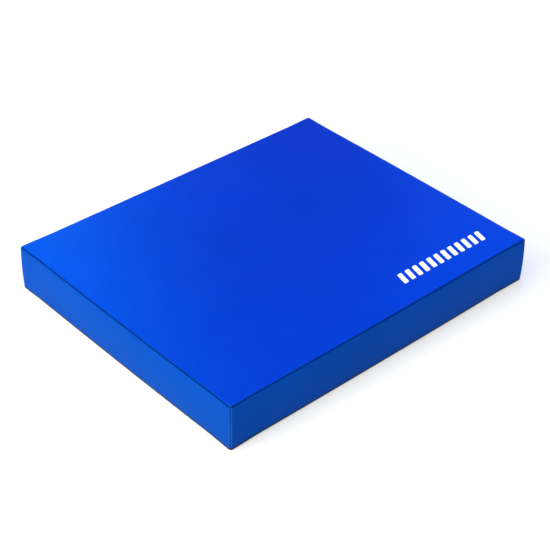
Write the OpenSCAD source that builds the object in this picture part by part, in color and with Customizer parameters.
// Balance pad: a soft foam core in a sewn, coated-fabric cover with a zip along the rear long side.
// The origin is the middle of the underside. +X runs along the long side, +Y points to the zip, +Z is up.

/* [Pad] */
// Length of the pad along X
pad_l = 500; // [460:5:560]
// Depth of the pad along Y
pad_d = 410; // [360:5:460]
// Height of the pad
pad_h = 65; // [60:1:70]
// Radius of the four upright corners
corner_r = 5; // [3:0.5:8]

/* [Cover] */
// Thickness of the coated fabric
skin_t = 1; // [0.8:0.1:1.2]
// Thickness of the anti-slip sheet underneath
base_t = 1.6; // [1.2:0.1:2]
// Depth of the seam allowance that turns into the cover
allowance_h = 7; // [6:0.5:8]
// Thickness of the sewing thread
thread_t = 0.5; // [0.4:0.05:0.6]

/* [Foam] */
// Height at which the two glued foam sheets meet
foam_split_z = 32; // [25:1:40]
// Space between the foam and the zip side of the cover
foam_rear_gap = 3.5; // [3.5:0.1:4.5]

/* [Zip] */
// Length of the zip between its stops
zip_l = 414; // [360:2:414]
// Clear height between the two strips that hold the zip
zip_gap = 12; // [11:0.5:14]
// Width of each zip tape
tape_w = 14; // [12:0.5:15]
// Thickness of each zip tape
tape_t = 0.6; // [0.5:0.05:0.65]
// Width of each coil
coil_w = 2.6; // [2.4:0.1:2.8]
// Thickness of each coil
coil_t = 1.7; // [1.5:0.1:1.9]
// Length of the slider
slider_l = 12; // [10:0.5:13]
// Length of the pull tab from its pivot to its tip
tab_l = 27; // [22:1:32]

/* [Printed mark] */
// Length of the row of printed bars
mark_l = 155; // [120:5:170]
// Width of the row of printed bars
mark_w = 19; // [14:1:24]
// Number of bars in the row
mark_bars = 12; // [8:1:14]

/* [Hidden] */
$fn = 48;
eps = 0.02;

// Space left between sewn layers, and between pieces that slide past each other
lay_gap = 0.1;
run_gap = 0.25;

// Levels of the cover
side_bottom_z = base_t + lay_gap;
top_under_z = pad_h - skin_t;
side_top_z = top_under_z - lay_gap;
zip_z = (base_t + top_under_z) / 2;

// Insets from the outline of the pad
base_inset = 1.2;
thread_inset = skin_t + lay_gap;
allowance_inset = skin_t + tape_t + 2 * lay_gap;
foam_inset = allowance_inset + skin_t + lay_gap;

// Rear side: the cover's outer face, the tapes' faces and the coils' outer face
rear_y = pad_d / 2;
tape_out_y = rear_y - skin_t - lay_gap;
tape_in_y = tape_out_y - tape_t;
coil_out_y = tape_out_y + coil_t;

// Zip: the tapes run past the stops, under the rear end pieces
coil_slit = 1;
stop_l = 3;
tape_l = zip_l + 26;
strip_l = zip_l + 16;
stitch_offset = 3;

// Slider: its plates lie outside the coils and inside the tapes
plate_t = 0.9;
plate_in_y = coil_out_y + run_gap;
plate_out_y = plate_in_y + plate_t;
slider_w = 9.4;
slider_nose_w = 7.4;
slider_post_w = 0.7;
slider_x = zip_l / 2 - slider_l / 2 - run_gap;
bar_r = 0.65;
bar_y = plate_out_y + bar_r + run_gap;
bridge_w = 3;
bridge_l = 7;
bridge_t = 0.8;
bridge_in_y = bar_y + bar_r + run_gap;
tab_w = 7.4;
eye_l = 5;
eye_w = 4;

// Printed mark: slanting bars, flush with the top
mark_x = 139.5;
mark_y = -162.5;
ink_t = 0.2;
mark_pitch = mark_l / mark_bars;
bar_fill = 0.56;
bar_slant = 5;

module rounded_outline(inset) {
    l = pad_l - 2 * inset;
    d = pad_d - 2 * inset;
    r = max(corner_r - inset, 0.4);
    square([l - 2 * r, d], center = true);
    square([l, d - 2 * r], center = true);
    for (sx = [-1, 1], sy = [-1, 1])
        translate([sx * (l / 2 - r), sy * (d / 2 - r)]) circle(r);
}

// A wall that follows the outline of the pad, from one inset to a deeper one
module wall(outer_inset, inner_inset, low_z, high_z) {
    translate([0, 0, low_z]) linear_extrude(high_z - low_z) difference() {
        rounded_outline(outer_inset);
        rounded_outline(inner_inset);
    }
}

// A slab with the outline of the pad
module slab(inset, low_z, high_z) {
    translate([0, 0, low_z]) linear_extrude(high_z - low_z) rounded_outline(inset);
}

// The part of the plan that belongs to one side, cut at 45 degrees through the corners.
// The sides are numbered 0 front, 1 right, 2 rear and 3 left.
module side_sector(side) {
    reach = pad_l;
    half_l = pad_l / 2;
    half_d = pad_d / 2;
    step = lay_gap / 2;
    if (side == 0) polygon([
        [-half_l + step, -half_d], [half_l - step, -half_d],
        [half_l - reach / 4 - step, -half_d + reach / 4], [-half_l + reach / 4 + step, -half_d + reach / 4]
    ]);
    if (side == 2) rotate(180) side_sector(0);
    if (side == 1) polygon([
        [half_l, -half_d + step], [half_l, half_d - step],
        [half_l - reach / 4, half_d - reach / 4 - step], [half_l - reach / 4, -half_d + reach / 4 + step]
    ]);
    if (side == 3) rotate(180) side_sector(1);
}

// One upright side of the cover, full height, between the corner seams
module side_panel(side) {
    intersection() {
        wall(0, skin_t, side_bottom_z, side_top_z);
        translate([0, 0, -1]) linear_extrude(pad_h + 2) side_sector(side);
    }
}

module rear_end(direction) {
    near_x = strip_l / 2 + lay_gap;
    intersection() {
        side_panel(2);
        translate([direction > 0 ? near_x : -pad_l, 0, 0]) cube([pad_l - near_x, pad_d, pad_h]);
    }
}

// A bar on the rear side, given by its middle, its width up the side and its two faces
module rear_bar(length, mid_z, height, in_y, out_y) {
    translate([-length / 2, in_y, mid_z - height / 2]) cube([length, out_y - in_y, height]);
}

module base_panel() {
    color("#1d2329") {
        slab(base_inset, 0, base_t);
        wall(allowance_inset, allowance_inset + skin_t, base_t - eps, base_t + allowance_h);
    }
}

module front_side_panel() {
    color("#0a4f9c") side_panel(0);
}

module right_side_panel() {
    color("#0a4f9c") side_panel(1);
}

module left_side_panel() {
    color("#0a4f9c") side_panel(3);
}

module rear_end_left() {
    color("#0a4f9c") rear_end(-1);
}

module rear_end_right() {
    color("#0a4f9c") rear_end(1);
}

module rear_strip_lower() {
    height = zip_z - zip_gap / 2 - side_bottom_z;
    color("#0a4f9c")
        rear_bar(strip_l, side_bottom_z + height / 2, height, rear_y - skin_t, rear_y);
}

module rear_strip_upper() {
    height = side_top_z - zip_z - zip_gap / 2;
    color("#0a4f9c")
        rear_bar(strip_l, side_top_z - height / 2, height, rear_y - skin_t, rear_y);
}

// Threads lie between the side panels and the turned-in allowances
module base_seam_thread() {
    low_z = side_bottom_z + thread_t;
    color("#123a86") wall(thread_inset, thread_inset + thread_t, low_z, low_z + thread_t);
}

module top_seam_thread() {
    high_z = side_top_z - thread_t;
    color("#123a86") wall(thread_inset, thread_inset + thread_t, high_z - thread_t, high_z);
}

module corner_seam_threads() {
    in = corner_r - (corner_r - thread_inset - thread_t / 2) * cos(45);
    low_z = side_bottom_z + 3 * thread_t;
    high_z = side_top_z - 3 * thread_t;
    color("#123a86")
        for (sx = [-1, 1], sy = [-1, 1])
            translate([sx * (pad_l / 2 - in), sy * (pad_d / 2 - in), low_z])
                cylinder(h = high_z - low_z, d = thread_t);
}

// Rows of topstitching that hold the zip tapes to the strips
module zip_stitching(direction) {
    mid_z = zip_z + direction * (zip_gap / 2 + stitch_offset);
    color("#123a86") rear_bar(strip_l - 4, mid_z, thread_t, rear_y, rear_y + thread_t / 2);
}

module zip_stitching_lower() {
    zip_stitching(-1);
}

module zip_stitching_upper() {
    zip_stitching(1);
}

// Short upright rows that close the zip off at both ends
module rear_end_stitching() {
    height = zip_gap + 4 * stitch_offset;
    color("#123a86")
        for (side = [-1, 1])
            translate([side * (strip_l / 2 + stitch_offset) - thread_t / 2, rear_y, zip_z - height / 2])
                cube([thread_t, thread_t / 2, height]);
}

module foam_block(low_z, high_z) {
    rear_limit = rear_y - foam_rear_gap;
    intersection() {
        slab(foam_inset, low_z, high_z);
        translate([-pad_l, rear_limit - pad_d, 0]) cube([2 * pad_l, pad_d, pad_h]);
    }
}

module foam_lower_layer() {
    color("#c9d3d8") foam_block(base_t, foam_split_z);
}

module foam_upper_layer() {
    color("#dfe5e8") foam_block(foam_split_z, top_under_z);
}

module printed_bars() {
    for (i = [0 : mark_bars - 1])
        translate([mark_x - mark_l / 2 + i * mark_pitch, mark_y - mark_w / 2])
            polygon([
                [0, 0], [mark_pitch * bar_fill, 0],
                [mark_pitch * bar_fill + bar_slant, mark_w], [bar_slant, mark_w]
            ]);
}

module top_panel() {
    color("#0b53d6") difference() {
        union() {
            slab(0, top_under_z, pad_h);
            wall(
                allowance_inset, allowance_inset + skin_t,
                top_under_z - allowance_h, top_under_z + eps
            );
        }
        translate([0, 0, pad_h - ink_t]) linear_extrude(1) printed_bars();
    }
}

module printed_mark() {
    color("#f4f7fa") translate([0, 0, pad_h - ink_t]) linear_extrude(ink_t) printed_bars();
}

module zip_tape(direction) {
    mid_z = zip_z + direction * (coil_slit + tape_w) / 2;
    color("#163a78") rear_bar(tape_l, mid_z, tape_w, tape_in_y, tape_out_y);
}

module zip_tape_lower() {
    zip_tape(-1);
}

module zip_tape_upper() {
    zip_tape(1);
}

module zip_coil(direction) {
    mid_z = zip_z + direction * (coil_slit + coil_w) / 2;
    color("#1c4a94") rear_bar(zip_l, mid_z, coil_w, tape_out_y, coil_out_y);
}

module zip_coil_lower() {
    zip_coil(-1);
}

module zip_coil_upper() {
    zip_coil(1);
}

// One staple over both coils at the end where the zip opens
module zip_bottom_stop() {
    color("#c4c8cc") translate([-zip_l / 2 - stop_l, tape_out_y, zip_z - coil_w - coil_slit])
        cube([stop_l, coil_t, 2 * (coil_w + coil_slit)]);
}

// One staple over each coil at the end where the zip closes
module zip_top_stops() {
    color("#c4c8cc")
        for (side = [-1, 1])
            translate([zip_l / 2, tape_out_y, zip_z + side * (coil_slit + coil_w) / 2 - coil_w / 2])
                cube([stop_l, coil_t, coil_w]);
}

// Outline of a slider plate, in X and Z: wide at the closing end and narrower behind
module slider_outline() {
    half_l = slider_l / 2;
    polygon([
        [-half_l, -slider_nose_w / 2], [half_l * 0.2, -slider_w / 2], [half_l, -slider_w / 2],
        [half_l, slider_w / 2], [half_l * 0.2, slider_w / 2], [-half_l, slider_nose_w / 2]
    ]);
}

// A slider plate between two faces along Y, at the slider's place on the zip
module slider_plate(in_y, out_y) {
    translate([slider_x, out_y, zip_z]) rotate([90, 0, 0])
        linear_extrude(out_y - in_y) slider_outline();
}

module zip_slider() {
    flange_z = coil_slit / 2 + coil_w + run_gap;
    flange_t = slider_nose_w / 2 - flange_z;
    flange_h = 0.7;
    inner_out_y = tape_in_y - run_gap;
    post_l = 3;
    color("#b9bec4") {
        slider_plate(plate_in_y, plate_out_y);
        slider_plate(inner_out_y - plate_t, inner_out_y);
        for (side = [-1, 1])
            translate([slider_x - slider_l / 2, plate_in_y - flange_h, zip_z + side * (flange_z + flange_t / 2) - flange_t / 2])
                cube([slider_l, flange_h + eps, flange_t]);
        translate([slider_x + slider_l / 2 - post_l, inner_out_y - eps, zip_z - slider_post_w / 2])
            cube([post_l, plate_in_y - inner_out_y + 2 * eps, slider_post_w]);
    }
}

// Arch over the outer plate that holds the pull tab
module zip_slider_bridge() {
    color("#aab0b6") translate([slider_x - bridge_l / 2, plate_out_y, zip_z - bridge_w / 2])
        difference() {
            cube([bridge_l, bridge_in_y + bridge_t - plate_out_y, bridge_w]);
            translate([bridge_t, -1, -1])
                cube([bridge_l - 2 * bridge_t, bridge_in_y - plate_out_y + 1, bridge_w + 2]);
        }
}

// The tab lies back along the closed zip. Its cross bar turns under the bridge.
module zip_pull_tab() {
    arm_w = (tab_w - eye_w) / 2;
    tip_r = tab_w / 2;
    color("#b9bec4") translate([slider_x, bar_y, zip_z]) {
        translate([0, 0, -tab_w / 2]) cylinder(h = tab_w, r = bar_r);
        for (side = [-1, 1])
            translate([-eye_l, -bar_r, side * (tab_w - arm_w) / 2 - arm_w / 2])
                cube([eye_l, 2 * bar_r, arm_w]);
        difference() {
            union() {
                translate([tip_r - tab_l, -bar_r, -tab_w / 2])
                    cube([tab_l - tip_r - eye_l, 2 * bar_r, tab_w]);
                translate([tip_r - tab_l, -bar_r, 0]) rotate([-90, 0, 0])
                    cylinder(h = 2 * bar_r, r = tip_r);
            }
            translate([tip_r - tab_l, -bar_r - 1, 0]) rotate([-90, 0, 0])
                cylinder(h = 2 * bar_r + 2, r = tip_r * 0.4);
        }
    }
}

base_panel();
front_side_panel();
left_side_panel();
right_side_panel();
rear_end_left();
rear_end_right();
rear_strip_lower();
rear_strip_upper();
base_seam_thread();
corner_seam_threads();
zip_stitching_lower();
zip_stitching_upper();
rear_end_stitching();
foam_lower_layer();
foam_upper_layer();
top_panel();
printed_mark();
top_seam_thread();
zip_tape_lower();
zip_tape_upper();
zip_coil_lower();
zip_coil_upper();
zip_bottom_stop();
zip_top_stops();
zip_slider();
zip_slider_bridge();
zip_pull_tab();
